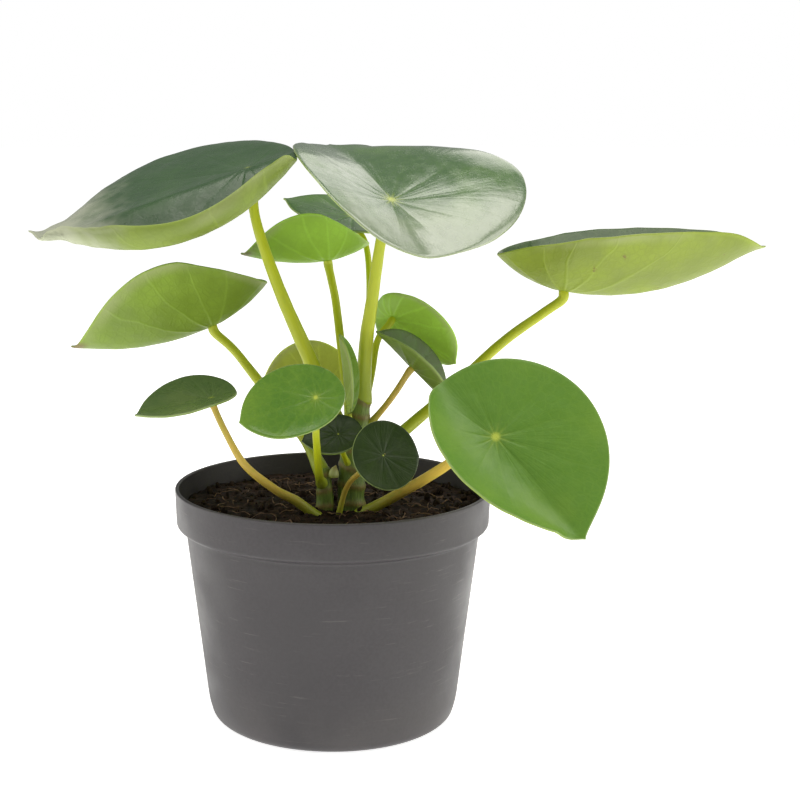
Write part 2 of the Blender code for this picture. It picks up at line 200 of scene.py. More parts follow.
BASAL = ("young",)        # leaves whose stalk runs into the base of the blade


# ---- colours --------------------------------------------------------------------------------
DEEP = (0.032, 0.092, 0.016)
MID = (0.090, 0.205, 0.020)
FRESH = (0.160, 0.310, 0.022)
DARK = (0.011, 0.028, 0.002)
DARK_PALE = (0.028, 0.056, 0.006)
UNDER_PALE = (0.270, 0.390, 0.045)
UNDER_DULL = (0.190, 0.290, 0.040)
DOT_YELLOW = (0.560, 0.640, 0.080)
MARGIN_PALE = (0.330, 0.420, 0.150)
BLEMISH = (0.160, 0.080, 0.020)
BAND_PALE = (0.400, 0.430, 0.210)
# painted sheen: grey standing for the reflection of white light on the crown's near part and
# upper_left's tip
PAINTED_SHEEN_GREY = (0.520, 0.540, 0.420)
CORK = (0.250, 0.150, 0.050)
POT_GREY = (0.037, 0.033, 0.036)
POT_LIGHT = (0.050, 0.045, 0.049)
POT_DARK = (0.030, 0.026, 0.029)
DUST = (0.170, 0.155, 0.145)
YELLOW_GREEN = (0.510, 0.570, 0.014)
STALK_LOW = (0.380, 0.470, 0.030)
AMBER = (0.740, 0.520, 0.080)
AMBER_HIGH = (0.600, 0.440, 0.070)
PEAT_DARK = (0.004, 0.003, 0.002)
PEAT_LIGHT = (0.044, 0.022, 0.014)
CRUMB_DARK = (0.006, 0.004, 0.003)
CRUMB_LIGHT = (0.050, 0.028, 0.017)
FIBRE_DARK = (0.050, 0.026, 0.014)
FIBRE_LIGHT = (0.220, 0.130, 0.070)
STEM_LOW = (0.120, 0.190, 0.030)
STEM_HIGH = (0.200, 0.290, 0.040)
BRACT_FOOT = (0.420, 0.480, 0.120)
BRACT_MIDDLE = (0.560, 0.600, 0.240)
BRACT_TIP = (0.420, 0.330, 0.130)
TABLE_WHITE = (0.90, 0.90, 0.90)
TABLE_SHADE = (0.86, 0.86, 0.86)


@dataclass
class Look:
    """The colours of one blade."""
    top: tuple                    # upper side
    pale: tuple                   # upper side, along veins and in the paler patches
    under: tuple                  # lower side
    gloss: float = 0.3            # roughness of the upper side
    spots: float = 0.0            # share of the blade with brown blemishes
    dot: float = 1.3              # radius of the yellow dot over the stalk
    wax: float = 0.0              # thickness of the upper side's wax, 0 for bare skin
    lines: float = 1.0            # strength of the veins and rays on the upper side
    painted_sheen: tuple = ()             # painted sheen, a grey patch of reflection: how far toward the tip it begins and is full, share
    dry_tip: float = 0.0          # how dark the drip tip has dried


LOOKS = {
    "upper_left": Look((0.024, 0.074, 0.018), (0.044, 0.112, 0.026), (0.250, 0.340, 0.045),
                       gloss=0.30, dot=0.7, wax=0.2, lines=0.3,
                       # painted sheen toward the tip, grey for reflected light
                       painted_sheen=(44.0, 74.0, 0.75)),
    "crown": Look((0.040, 0.118, 0.018), MID, UNDER_PALE, gloss=0.20, dot=1.8, wax=0.95,
                  # painted sheen toward the base, grey for reflected light
                  lines=0.8, painted_sheen=(0.0, -22.0, 0.30)),
    "back_centre": Look(MID, FRESH, (0.330, 0.580, 0.045), dry_tip=0.7),
    "back_high": Look(DEEP, MID, UNDER_PALE),
    "mid_left": Look(MID, FRESH, (0.225, 0.350, 0.024), dry_tip=0.8),
    "low_left": Look((0.095, 0.160, 0.055), (0.180, 0.240, 0.090), UNDER_DULL, dot=0.6, lines=0.4),
    "far_right": Look((0.050, 0.100, 0.030), (0.120, 0.190, 0.060), (0.265, 0.350, 0.024),
                      spots=0.5),
    "front_small": Look((0.095, 0.215, 0.024), (0.210, 0.350, 0.040), UNDER_PALE, gloss=0.22,
                        dot=0.9, lines=0.4),
    "back_low": Look(MID, FRESH, (0.570, 0.660, 0.080)),
    "front_right": Look((0.110, 0.240, 0.024), (0.170, 0.310, 0.032), UNDER_PALE, gloss=0.44,
                        dot=1.8, lines=0.35),
    "mid_right": Look(MID, FRESH, (0.420, 0.720, 0.070)),
    "mid_right_small": Look((0.080, 0.130, 0.030), MID, UNDER_DULL),
    "front_dark": Look(DARK, DARK_PALE, UNDER_DULL, gloss=0.40, dot=0.3, lines=0.12),
    "inner_dark": Look(DARK, DARK_PALE, UNDER_DULL, gloss=0.40, dot=0.3, lines=0.12),
    "young": Look(FRESH, (0.250, 0.380, 0.050), UNDER_PALE),
}


# ---- shaders --------------------------------------------------------------------------------
def opaque(colour):
    return (*colour, 1.0) if isinstance(colour, tuple) and len(colour) == 3 else colour


class Shader:
    """A material's node tree, with short ways to add and join nodes."""

    def __init__(self, name, roughness, bump=0.0, relief=0.2):
        self.material = bpy.data.materials.new(name)
        self.material.use_nodes = True
        self.tree = self.material.node_tree
        self.surface = self.tree.nodes["Principled BSDF"]
        self.surface.inputs["Roughness"].default_value = roughness
        if bump:
            self.bump = self.node("ShaderNodeBump")
            self.bump.inputs["Strength"].default_value = bump
            self.bump.inputs["Distance"].default_value = relief * MM
            self.join(self.bump.outputs["Normal"], self.surface.inputs["Normal"])

    def node(self, kind, **settings):
        node = self.tree.nodes.new(kind)
        for key, value in settings.items():
            setattr(node, key, value)
        return node

    def join(self, source, socket):
        """Link a node's output to a socket, or set the socket to a plain value."""
        if isinstance(source, bpy.types.NodeSocket):
            self.tree.links.new(source, socket)
        else:
            socket.default_value = source

    def math(self, operation, first, second=0.0):
        node = self.node("ShaderNodeMath", operation=operation)
        self.join(first, node.inputs[0])
        self.join(second, node.inputs[1])
        return node.outputs[0]

    def ramp(self, value, low, high, new_low=0.0, new_high=1.0):
        """A smooth step of the value, from new_low at low to new_high at high."""
        node = self.node("ShaderNodeMapRange", interpolation_type="SMOOTHSTEP")
        for socket, source in zip(node.inputs, (value, low, high, new_low, new_high)):
            self.join(source, socket)
        return node.outputs[0]

    def mix(self, share, first, second):
        """A mix of two colours by a share from 0 to 1."""
        node = self.node("ShaderNodeMix", data_type="RGBA")
        self.join(share, node.inputs[0])
        self.join(opaque(first), node.inputs[6])
        self.join(opaque(second), node.inputs[7])
        return node.outputs[2]

    def noise(self, place, scale, detail=2.0, roughness=0.5):
        node = self.node("ShaderNodeTexNoise")
        self.join(place, node.inputs["Vector"])
        node.inputs["Scale"].default_value = scale
        node.inputs["Detail"].default_value = detail
        node.inputs["Roughness"].default_value = roughness
        return node.outputs[0]

    def net(self, place, scale, width):
        """A net of fine lines between cells, 1 on the lines and 0 from their width outward."""
        node = self.node("ShaderNodeTexVoronoi", feature="DISTANCE_TO_EDGE")
        self.join(place, node.inputs["Vector"])
        node.inputs["Scale"].default_value = scale
        return self.ramp(node.outputs["Distance"], 0.02, width, 1.0, 0.0)

    def stretched(self, place, scale):
        node = self.node("ShaderNodeVectorMath", operation="MULTIPLY")
        self.join(place, node.inputs[0])
        node.inputs[1].default_value = scale
        return node.outputs[0]

    def parts(self, vector):
        node = self.node("ShaderNodeSeparateXYZ")
        self.join(vector, node.inputs[0])
        return node.outputs

    def place(self):
        return self.node("ShaderNodeTexCoord").outputs["Object"]

    def attribute(self, name):
        return self.node("ShaderNodeAttribute", attribute_name=name).outputs["Vector"]

    def colour(self, colour):
        self.join(opaque(colour), self.surface.inputs["Base Color"])

    def height(self, height):
        self.join(height, self.bump.inputs["Height"])

    def roughness(self, value):
        self.join(value, self.surface.inputs["Roughness"])


def blade_veins(shader, lay):
    """Where the main veins run, from 0 to 1, on a blade laid flat: they leave the stalk evenly
    and waver as they go. Also the distance from the stalk."""
    x, y, _ = shader.parts(lay)
    radius = shader.math("SQRT", shader.math("ADD", shader.math("MULTIPLY", x, x),
                                             shader.math("MULTIPLY", y, y)))
    waver = shader.math("MULTIPLY", shader.math("SUBTRACT", shader.noise(lay, 0.035), 0.5), 0.4)
    turn = shader.math("ADD", shader.math("ABSOLUTE", shader.math("ARCTAN2", y, x)), waver)
    spacing = math.tau / VEIN_COUNT
    even = shader.math("PINGPONG", shader.math("ADD", turn, spacing / 2), spacing / 2)
    distance = shader.math("MULTIPLY", shader.math("SUBTRACT", spacing / 2, even), radius)
    return shader.ramp(distance, 0.0, 0.9, 1.0, 0.0), radius


def with_painted_sheen(shader, colour, lay, look):
    """The colour with a painted sheen, a grey patch for reflected light, that thickens toward the
    tip or toward the base.
    """
    if not look.painted_sheen:
        return colour
    along = shader.parts(lay)[0]
    ragged = shader.math("SUBTRACT", shader.noise(lay, 0.12, 4.0), 0.5)
    ragged = shader.math("MULTIPLY", ragged, 26.0)
    begins, full, most = look.painted_sheen
    share = shader.ramp(shader.math("ADD", along, ragged), begins, full, 0.0, most)
    return shader.mix(share, colour, PAINTED_SHEEN_GREY)


def blade_top(name, look):
    """Upper side: waxy green with a yellow dot over the stalk, its rays, paler veins, a net of
    fine veins, and a thin pale margin."""
    shader = Shader("top_" + name, look.gloss, bump=0.35, relief=0.25)
    lay = shader.attribute("lay")
    ray = shader.attribute("ray")
    rim = shader.parts(ray)[2]
    veins, radius = blade_veins(shader, lay)
    patches = shader.ramp(shader.noise(lay, 0.045, 3.0), 0.35, 0.7)
    colour = shader.mix(patches, look.top, look.pale)
    colour = shader.mix(shader.math("MULTIPLY", patches, 0.6), look.top, colour)
    net = shader.net(lay, 0.32, 0.16)
    colour = shader.mix(shader.math("MULTIPLY", net, 0.18), colour, look.pale)
    fade = shader.ramp(radius, 6.0, 40.0, 0.40, 0.10)
    colour = shader.mix(shader.math("MULTIPLY", shader.math("MULTIPLY", veins, fade), look.lines),
                        colour, look.pale)
    grain = shader.ramp(shader.noise(lay, 1.6, 4.0), 0.3, 0.75, 0.0, 0.28)
    colour = shader.mix(grain, colour, look.top)
    rays = shader.math("MULTIPLY", veins, shader.ramp(radius, look.dot, look.dot * 3.5, 0.45, 0.0))
    colour = shader.mix(shader.math("MULTIPLY", rays, look.lines), colour, DOT_YELLOW)
    dot = shader.ramp(radius, look.dot * 0.3, look.dot * 1.25, 0.9, 0.0)
    colour = shader.mix(dot, colour, DOT_YELLOW)
    colour = shader.mix(shader.ramp(rim, 0.985, 1.0, 0.0, 0.7), colour, MARGIN_PALE)
    # painted sheen: a grey patch of reflected light, laid into the colour
    shader.colour(with_painted_sheen(shader, colour, lay, look))
    wrinkles = shader.noise(shader.stretched(ray, (9.0, 9.0, 1.2)), 2.2, 3.0)
    relief = shader.math("ADD", shader.math("MULTIPLY", wrinkles, 1.5),
                         shader.math("MULTIPLY", shader.noise(lay, 0.9, 3.0), 0.6))
    relief = shader.math("SUBTRACT", relief, shader.math("MULTIPLY", veins, 0.35))
    shader.height(shader.math("SUBTRACT", relief, shader.math("MULTIPLY", net, 0.15)))
    shader.roughness(shader.ramp(shader.noise(lay, 0.25, 4.0), 0.3, 0.7, look.gloss - 0.05,
                                 look.gloss + 0.10))
    shader.surface.inputs["IOR"].default_value = 1.42 + 0.15 * look.wax
    shader.surface.inputs["Specular IOR Level"].default_value = 0.45 + 0.55 * look.wax
    shader.surface.inputs["Coat Weight"].default_value = 0.12 + 0.70 * look.wax
    shader.surface.inputs["Coat Roughness"].default_value = 0.22
    return shader.material


def blade_under(name, look):
    """Lower side: matte yellow-green with veins that stand out, and brown blemishes on some."""
    shader = Shader("under_" + name, 0.5, bump=0.4, relief=0.3)
    lay = shader.attribute("lay")
    ahead, _, rim = shader.parts(shader.attribute("ray"))
    veins, radius = blade_veins(shader, lay)
    shade = tuple(part * 0.72 for part in look.under)
    bright = tuple(min(0.9, part * 1.25 + 0.01) for part in look.under)
    mottle = shader.ramp(shader.noise(lay, 0.05, 4.0), 0.3, 0.7)
    colour = shader.mix(mottle, shade, look.under)
    net = shader.net(lay, 0.30, 0.18)
    colour = shader.mix(shader.math("MULTIPLY", net, 0.22), colour, shade)
    colour = shader.mix(shader.math("MULTIPLY", veins, 0.28), colour, bright)
    grain = shader.ramp(shader.noise(lay, 1.8, 4.0), 0.35, 0.75, 0.0, 0.3)
    colour = shader.mix(grain, colour, shade)
    band = shader.math("MULTIPLY", shader.ramp(rim, 0.84, 0.99, 0.0, 0.50),
                       shader.ramp(shader.noise(lay, 0.03), 0.40, 0.62))
    colour = shader.mix(band, colour, BAND_PALE)
    colour = shader.mix(shader.ramp(rim, 0.97, 1.0, 0.0, 0.6), colour, bright)
    if look.dry_tip:
        tip = shader.math("MULTIPLY", shader.ramp(ahead, 0.985, 0.998),
                          shader.ramp(rim, 0.90, 0.98))
        colour = shader.mix(shader.math("MULTIPLY", tip, look.dry_tip), colour, BLEMISH)
    if look.spots:
        spot = shader.ramp(shader.noise(lay, 0.16, 5.0, 0.7), 0.70 - 0.1 * look.spots, 0.74,
                           0.0, 0.75)
        colour = shader.mix(spot, colour, BLEMISH)
    # painted sheen on the lower side as well: the same grey patch of reflected light
    shader.colour(with_painted_sheen(shader, colour, lay, look))
    relief = shader.math("ADD", shader.math("MULTIPLY", veins, 0.8),
                         shader.math("MULTIPLY", shader.noise(lay, 1.1, 3.0), 0.5))
    shader.height(shader.math("ADD", relief, shader.math("MULTIPLY", net, 0.3)))
    shader.roughness(shader.ramp(mottle, 0.0, 1.0, 0.44, 0.58))
    return shader.material


def stalk_skin(name, foot, middle, top, rough=0.38):
    """A stalk's skin, from its foot to the blade, with fine lines along it and a few flecks."""
    shader = Shader(name, rough, bump=0.4, relief=0.15)
    around = shader.attribute("around")
    share = shader.parts(shader.attribute("share"))[0]
    lower = shader.ramp(share, 0.02, 0.40)
    upper = shader.ramp(share, 0.45, 0.98)
    colour = shader.mix(upper, shader.mix(lower, foot, middle), top)
    dim = tuple(part * 0.62 for part in middle)
    lines = shader.noise(shader.stretched(around, (3.0, 3.0, 0.035)), 2.4, 3.0)
    colour = shader.mix(shader.ramp(lines, 0.45, 0.75, 0.0, 0.42), colour, dim)
    blotches = shader.noise(shader.stretched(around, (0.6, 0.6, 0.16)), 1.0, 4.0)
    colour = shader.mix(shader.ramp(blotches, 0.5, 0.78, 0.0, 0.45), colour, foot)
    flecks = shader.noise(shader.stretched(around, (1.4, 1.4, 0.7)), 1.5, 5.0, 0.7)
    colour = shader.mix(shader.ramp(flecks, 0.66, 0.73, 0.0, 0.6), colour, BLEMISH)
    shader.colour(colour)
    shader.height(shader.math("ADD", lines, shader.math("MULTIPLY", flecks, 0.3)))
    shader.roughness(shader.ramp(blotches, 0.3, 0.7, rough - 0.06, rough + 0.1))
    return shader.material


def stem_skin(name, low, high):
    """A stem's older skin: dark green, corky at its rings, with brown flecks."""
    shader = Shader(name, 0.48, bump=0.6, relief=0.4)
    around = shader.attribute("around")
    share, corky, _ = shader.parts(shader.attribute("share"))
    colour = shader.mix(shader.ramp(share, 0.1, 0.95), low, high)
    grain = shader.noise(shader.stretched(around, (1.6, 1.6, 0.25)), 1.6, 5.0, 0.6)
    dim = tuple(part * 0.4 for part in low)
    colour = shader.mix(shader.ramp(grain, 0.42, 0.75, 0.0, 0.6), colour, dim)
    light = shader.noise(shader.stretched(around, (1.0, 1.0, 0.12)), 1.1, 3.0)
    bright = tuple(part * 1.6 for part in high)
    colour = shader.mix(shader.ramp(light, 0.5, 0.8, 0.0, 0.6), colour, bright)
    worn = shader.math("MULTIPLY", corky, shader.ramp(grain, 0.3, 0.7, 0.35, 1.0))
    colour = shader.mix(worn, colour, CORK)
    shader.colour(colour)
    shader.height(shader.math("ADD", grain, shader.math("MULTIPLY", light, 0.4)))
    return shader.material


def pot_plastic():
    """Dark grey polypropylene: a faint mould grain, dust near the foot, and scuffs."""
    shader = Shader("pot_plastic", 0.42, bump=0.25, relief=0.12)
    place = shader.place()
    height = shader.parts(place)[2]
    cloud = shader.noise(place, 22.0, 4.0)
    colour = shader.mix(shader.ramp(cloud, 0.3, 0.7), POT_GREY, POT_LIGHT)
    fine = shader.noise(place, 900.0, 3.0)
    colour = shader.mix(shader.ramp(fine, 0.35, 0.7, 0.0, 0.35), colour, POT_DARK)
    scuffs = shader.noise(shader.stretched(place, (60.0, 60.0, 900.0)), 1.0, 4.0, 0.65)
    scuff = shader.ramp(scuffs, 0.60, 0.74, 0.0, 0.30)
    colour = shader.mix(scuff, colour, DUST)
    low = shader.ramp(height, 0.0, 0.030, 0.22, 0.0)
    colour = shader.mix(shader.math("MULTIPLY", low, shader.ramp(cloud, 0.3, 0.6)), colour, DUST)
    shader.colour(colour)
    shader.height(shader.math("ADD", shader.math("MULTIPLY", fine, 0.6),
                              shader.math("MULTIPLY", scuffs, 0.3)))
    shader.roughness(shader.ramp(shader.noise(place, 45.0, 5.0), 0.3, 0.7, 0.36, 0.52))
    return shader.material


def peat(name, dark, light, scale):
    """Damp peat: near black with brown crumbs."""
    shader = Shader(name, 0.85, bump=0.9, relief=0.5)
    place = shader.place()
    grain = shader.noise(place, 420.0 * scale, 6.0, 0.7)
    colour = shader.mix(shader.ramp(grain, 0.35, 0.72), dark, light)
    tint = shader.noise(place, 130.0 * scale, 4.0)
    bright = tuple(part * 1.9 for part in light)
    colour = shader.mix(shader.ramp(tint, 0.55, 0.75, 0.0, 0.5), colour, bright)
    shader.colour(colour)
    shader.height(grain)
    shader.roughness(shader.ramp(tint, 0.3, 0.7, 0.95, 0.7))
    shader.surface.inputs["Specular IOR Level"].default_value = 0.15
    return shader.material


def floor_paint():
    shader = Shader("floor_paint", 0.7, bump=0.05, relief=0.1)
    cloud = shader.noise(shader.place(), 6.0, 3.0)
    shader.colour(shader.mix(cloud, TABLE_SHADE, TABLE_WHITE))
    shader.height(shader.noise(shader.place(), 400.0, 2.0))
    shader.surface.inputs["Emission Color"].default_value = (1.0, 1.0, 1.0, 1.0)
    shader.surface.inputs["Emission Strength"].default_value = FLOOR_GLOW
    return shader.material


# ---- meshes ---------------------------------------------------------------------------------
def store(mesh, name, vectors):
    """Keep a vector for each of a mesh's points, for its material to read."""
    layer = mesh.attributes.new(name, "FLOAT_VECTOR", "POINT")
    layer.data.foreach_set("vector", [part for vector in vectors for part in vector])


def show(name, mesh, materials, nodes=()):
    """A visible piece, standing for its CAD nodes."""
    piece = bpy.data.objects.new(name, mesh)
    bpy.context.scene.collection.objects.link(piece)
    for material in materials:
        mesh.materials.append(material)
    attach(piece, BODY)
    if nodes:
        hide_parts(*nodes)
    return piece


def finished(mesh, name, smooth=True):
    """A bmesh as a mesh, its normals facing out."""
    bmesh.ops.recalc_face_normals(mesh, faces=mesh.faces)
    data = bpy.data.meshes.new(name)
    mesh.to_mesh(data)
    mesh.free()
    if smooth:
        data.shade_smooth()
    return data


def bridge(mesh, first, second, material=0):
    """Faces between two rings of points of the same length, or a ring and a single point."""
    count = max(len(first), len(second))
    for i in range(count):
        j = (i + 1) % count
        if len(first) == 1:
            corners = (first[0], second[i], second[j])
        elif len(second) == 1:
            corners = (first[i], second[0], first[j])
        else:
            corners = (first[i], second[i], second[j], first[j])
        mesh.faces.new(corners).material_index = material


def turned_mesh(name, profile, wobble=0.0):
    """A closed profile of (radius, height) turned about the Z axis."""
    mesh = bmesh.new()
    rings = []
    for radius, height in profile:
        if radius == 0:
            rings.append([mesh.verts.new((0.0, 0.0, height * MM))])
            continue
        ring = []
        for i in range(TURN_STEPS):
            angle = math.tau * i / TURN_STEPS
            ripple = wobble * noise.noise(Vector((math.cos(angle), math.sin(angle), height / 30)))
            ring.append(mesh.verts.new(((radius + ripple) * MM * math.cos(angle),
                                        (radius + ripple) * MM * math.sin(angle), height * MM)))
        rings.append(ring)
    for first, second in zip(rings, rings[1:]):
        bridge(mesh, first, second)
    return finished(mesh, name)


def smooth_route(points, steps=4):
    """Points read from a smooth curve through the route's own points, radius included."""
    points = [Vector(point) for point in points]
    ends = [points[0] * 2 - points[1]] + points + [points[-1] * 2 - points[-2]]
    route = []
    for a, b, c, d in zip(ends, ends[1:], ends[2:], ends[3:]):
        for i in range(steps):
            t = i / steps
            route.append((b * 2 + (c - a) * t + (a * 2 - b * 5 + c * 4 - d) * t * t
                          + (b * 3 - a - c * 3 + d) * t * t * t) / 2)
    return route + [points[-1]]


def rounded(corner, before, after, radius, steps=5):
    """The points of a round corner of a profile."""
    corner, before, after = Vector(corner), Vector(before), Vector(after)
    start = corner + (before - corner).normalized() * radius
    end = corner + (after - corner).normalized() * radius
    points = []
    for i in range(steps + 1):
        t = i / steps
        points.append(start * (1 - t) ** 2 + corner * 2 * t * (1 - t) + end * t ** 2)
    return points


def softened(profile, radii):
    """The profile with each inner corner made round by its radius."""
    points = [Vector(profile[0])]
    for before, corner, after, radius in zip(profile, profile[1:], profile[2:], radii):
        points += rounded(corner, before, after, radius) if radius else [Vector(corner)]
    return points + [Vector(profile[-1])]


# ---- pot and soil ---------------------------------------------------------------------------
def make_pot():
    lip = 0.6             # radius of the rim's round lip
    inside_band = RIM_RADIUS - WALL
    inside_body = BODY_TOP_RADIUS - WALL
    corners = [
        ((0, FLOOR), 0), ((BASE_RADIUS - 1, FLOOR), 1.5), ((FOOT_RADIUS - WALL, 8), 3),
        ((inside_body, BAND_FOOT - 1), 1.5), ((inside_band - 0.4, BAND_FOOT + 2.5), 1.2),
        ((inside_band, POT_HEIGHT), lip), ((RIM_RADIUS, POT_HEIGHT), lip + 0.1),
        ((RIM_RADIUS - 0.5, BAND_FOOT), 1.1), ((BODY_TOP_RADIUS, BAND_FOOT - 1.6), 1.0),
        ((BODY_TOP_RADIUS - 0.2, BAND_FOOT - 4), 0.8), ((FOOT_RADIUS, 7.0), 3.0),
        ((FOOT_RADIUS - 1.6, 1.6), 1.6), ((BASE_RADIUS, 0), 0.8), ((0, 0), 0)]
    profile = softened([point for point, _ in corners], [radius for _, radius in corners[1:-1]])
    mesh = turned_mesh("pot_shell", profile, wobble=0.06)
    pot = show("pot_shell", mesh, [pot_plastic()], ["pot"])
    drills = bmesh.new()
    for i in range(HOLES):
        angle = math.tau * (i + 0.5) / HOLES
        centre = Vector((HOLE_RING * math.cos(angle), HOLE_RING * math.sin(angle), 0))
        place = Matrix.Translation(centre * MM)
        bmesh.ops.create_cone(drills, cap_ends=True, segments=32, radius1=HOLE_RADIUS * MM,
                              radius2=HOLE_RADIUS * MM, depth=4 * FLOOR * MM, matrix=place)
    cutter = bpy.data.objects.new("drills", finished(drills, "drills", smooth=False))
    bpy.context.scene.collection.objects.link(cutter)
    cut = pot.modifiers.new("drain_holes", "BOOLEAN")
    cut.operation = "DIFFERENCE"
    cut.solver = "EXACT"
    cut.object = cutter
    bake_shape(pot)
    bpy.data.objects.remove(cutter)


def bake_shape(piece):
    """The piece's modifiers made part of its mesh."""
    bpy.context.view_layer.update()
    shape = piece.evaluated_get(bpy.context.evaluated_depsgraph_get())
    mesh = bpy.data.meshes.new_from_object(shape)
    mesh.name = piece.data.name
    piece.modifiers.clear()
    piece.data = mesh
    mesh.shade_smooth()
    mesh.set_sharp_from_angle(angle=math.radians(50))


def soil_height(x, y):
    """The uneven top of the peat."""
    radius = math.hypot(x, y)
    level = SOIL_CROWN + (SOIL_EDGE - SOIL_CROWN) * min(1.0, radius / (RIM_RADIUS - WALL)) ** 2
    coarse = noise.fractal(Vector((x, y, 3.0)) / 14, 1.0, 2.0, 3)
    fine = noise.fractal(Vector((x, y, 9.0)) / 3.2, 1.0, 2.0, 4)
    return level + SOIL_LUMPS * coarse + SOIL_GRAIN * fine


def make_soil():
    edge = RIM_RADIUS - WALL - SOIL_GAP
    bottom = FLOOR + SOIL_GAP
    mesh = bmesh.new()
    loops = [[mesh.verts.new((0, 0, soil_height(0, 0) * MM))]]
    for i in range(1, SOIL_RINGS + 1):
        radius = edge * i / SOIL_RINGS
        loop = []
        for k in range(TURN_STEPS):
            angle = math.tau * k / TURN_STEPS
            x, y = radius * math.cos(angle), radius * math.sin(angle)
            loop.append(mesh.verts.new((x * MM, y * MM, soil_height(x, y) * MM)))
        loops.append(loop)
    for radius, height in ((edge - 0.5, BAND_FOOT + 2), (BODY_TOP_RADIUS - 2, BAND_FOOT - 1),
                           (FOOT_RADIUS - 2, 8), (BASE_RADIUS - 1, bottom)):
        loops.append([mesh.verts.new((radius * MM * math.cos(math.tau * k / TURN_STEPS),
                                      radius * MM * math.sin(math.tau * k / TURN_STEPS),
                                      height * MM))
                      for k in range(TURN_STEPS)])
    loops.append([mesh.verts.new((0, 0, bottom * MM))])
    for first, second in zip(loops, loops[1:]):
        bridge(mesh, first, second)
    show("soil_bed", finished(mesh, "soil_bed"),
         [peat("peat", PEAT_DARK, PEAT_LIGHT, 1.0)], ["soil"])
    make_crumbs(random.Random(11))
    make_fibres(random.Random(23))


def soil_spot(chance, margin):
    """A place on the soil, evenly spread."""
    radius = (RIM_RADIUS - WALL - margin) * math.sqrt(chance.random())
    angle = chance.uniform(0, math.tau)
    x, y = radius * math.cos(angle), radius * math.sin(angle)
    return x, y, soil_height(x, y)


def make_crumbs(chance):
    """Loose crumbs of peat and bits of bark on the soil."""
    mesh = bmesh.new()
    for _ in range(CRUMBS):
        size = 0.5 + 1.6 * chance.random() ** 2.5
        x, y, z = soil_spot(chance, 2.0)
        turn = Euler([chance.uniform(0, math.tau) for _ in range(3)], "XYZ").to_matrix().to_4x4()
        stretch = Matrix.Diagonal((chance.uniform(0.7, 1.7), chance.uniform(0.6, 1.0),
                                   chance.uniform(0.45, 0.8), 1.0))
        place = Matrix.Translation(Vector((x, y, z + 0.15 * size)) * MM)
        made = bmesh.ops.create_icosphere(mesh, subdivisions=1 if size < 1.1 else 2,
                                          radius=size * MM, matrix=place @ turn @ stretch)
        centre = place.to_translation()
        for vertex in made["verts"]:
            lump = 1 + 0.35 * noise.noise(vertex.co / MM / size * 1.3)
            vertex.co = centre + (vertex.co - centre) * lump
    show("soil_crumbs", finished(mesh, "soil_crumbs"),
         [peat("crumb_peat", CRUMB_DARK, CRUMB_LIGHT, 1.6)])


def make_fibres(chance):
    """Brown fibres and twigs lying in the soil."""
    mesh = bmesh.new()
    for _ in range(FIBRES):
        x, y, z = soil_spot(chance, 8.0)
        heading = chance.uniform(0, math.tau)
        length = chance.uniform(3.0, 11.0)
        radius = chance.uniform(0.10, 0.28)
        bend = chance.uniform(-0.9, 0.9)
        lift = chance.uniform(0.1, 1.2)
        route = []
        for i in range(6):
            t = i / 5
            angle = heading + bend * t
            px, py = x + length * t * math.cos(angle), y + length * t * math.sin(angle)
            if math.hypot(px, py) > RIM_RADIUS - WALL - 1.5:
                break
            top = soil_height(px, py) + lift * math.sin(math.pi * t) + 0.1
            route.append(Vector((px, py, top, radius)))
        if len(route) > 2:
            add_tube(mesh, route, 5)
    shader = Shader("fibre", 0.8, bump=0.5, relief=0.1)
    grain = shader.noise(shader.place(), 300.0, 4.0)
    shader.colour(shader.mix(shader.ramp(grain, 0.3, 0.7), FIBRE_DARK, FIBRE_LIGHT))
    shader.height(grain)
    show("soil_fibres", finished(mesh, "soil_fibres"), [shader.material])


# ---- stems and stalks -----------------------------------------------------------------------
def add_tube(mesh, route, sides, swell=None):
    """A round tube along a route of (x, y, z, radius), closed at both ends. Returns, for each
    point made, its place around and along the tube, and its share of the way."""
    line = [point.xyz for point in route]
    gone = [0.0]
    for first, second in zip(line, line[1:]):
        gone.append(gone[-1] + (second - first).length)
    side = (line[1] - line[0]).orthogonal().normalized()
    facts = []

    def vertex(place, fact):
        facts.append(fact)
        return mesh.verts.new(place * MM)

    loops = []
    for i, centre in enumerate(line):
        ahead = (line[min(i + 1, len(line) - 1)] - line[max(i - 1, 0)]).normalized()
        side = (side - ahead * side.dot(ahead)).normalized()
        over = ahead.cross(side)
        loop = []
        for k in range(sides):
            angle = math.tau * k / sides
            out = side * math.cos(angle) + over * math.sin(angle)
            radius, corky = (route[i][3], 0.0)
            if swell:
                radius, corky = swell(radius, gone[i], gone[-1], angle)
            around = (math.cos(angle) * radius, math.sin(angle) * radius, gone[i])
            loop.append(vertex(centre + out * radius, (around, (gone[i] / gone[-1], corky, 0.0))))
        loops.append(loop)
    first = vertex(line[0], ((0, 0, 0), (0, 0, 0)))
    last = vertex(line[-1], ((0, 0, gone[-1]), (1, 0, 0)))
    loops = [[first]] + loops + [[last]]
    for before, after in zip(loops, loops[1:]):
        bridge(mesh, before, after)
    return facts


def tube_mesh(name, route, sides, swell):
    mesh = bmesh.new()
    facts = add_tube(mesh, route, sides, swell)
    data = finished(mesh, name)
    store(data, "around", [fact[0] for fact in facts])
    store(data, "share", [fact[1] for fact in facts])
    return data


def stalk_swell(seed):
    """A stalk's radius: wider at its foot and under the blade, and never quite even."""
    def swell(radius, gone, length, angle):
        foot = 0.30 * math.exp(-(gone / 6.0) ** 2)
        head = 0.28 * math.exp(-((length - gone) / 3.0) ** 2)
        uneven = 0.05 * noise.noise(Vector((math.cos(angle), math.sin(angle), gone / 6.0 + seed)))
        return radius * (1 + foot + head + uneven), 0.0
    return swell


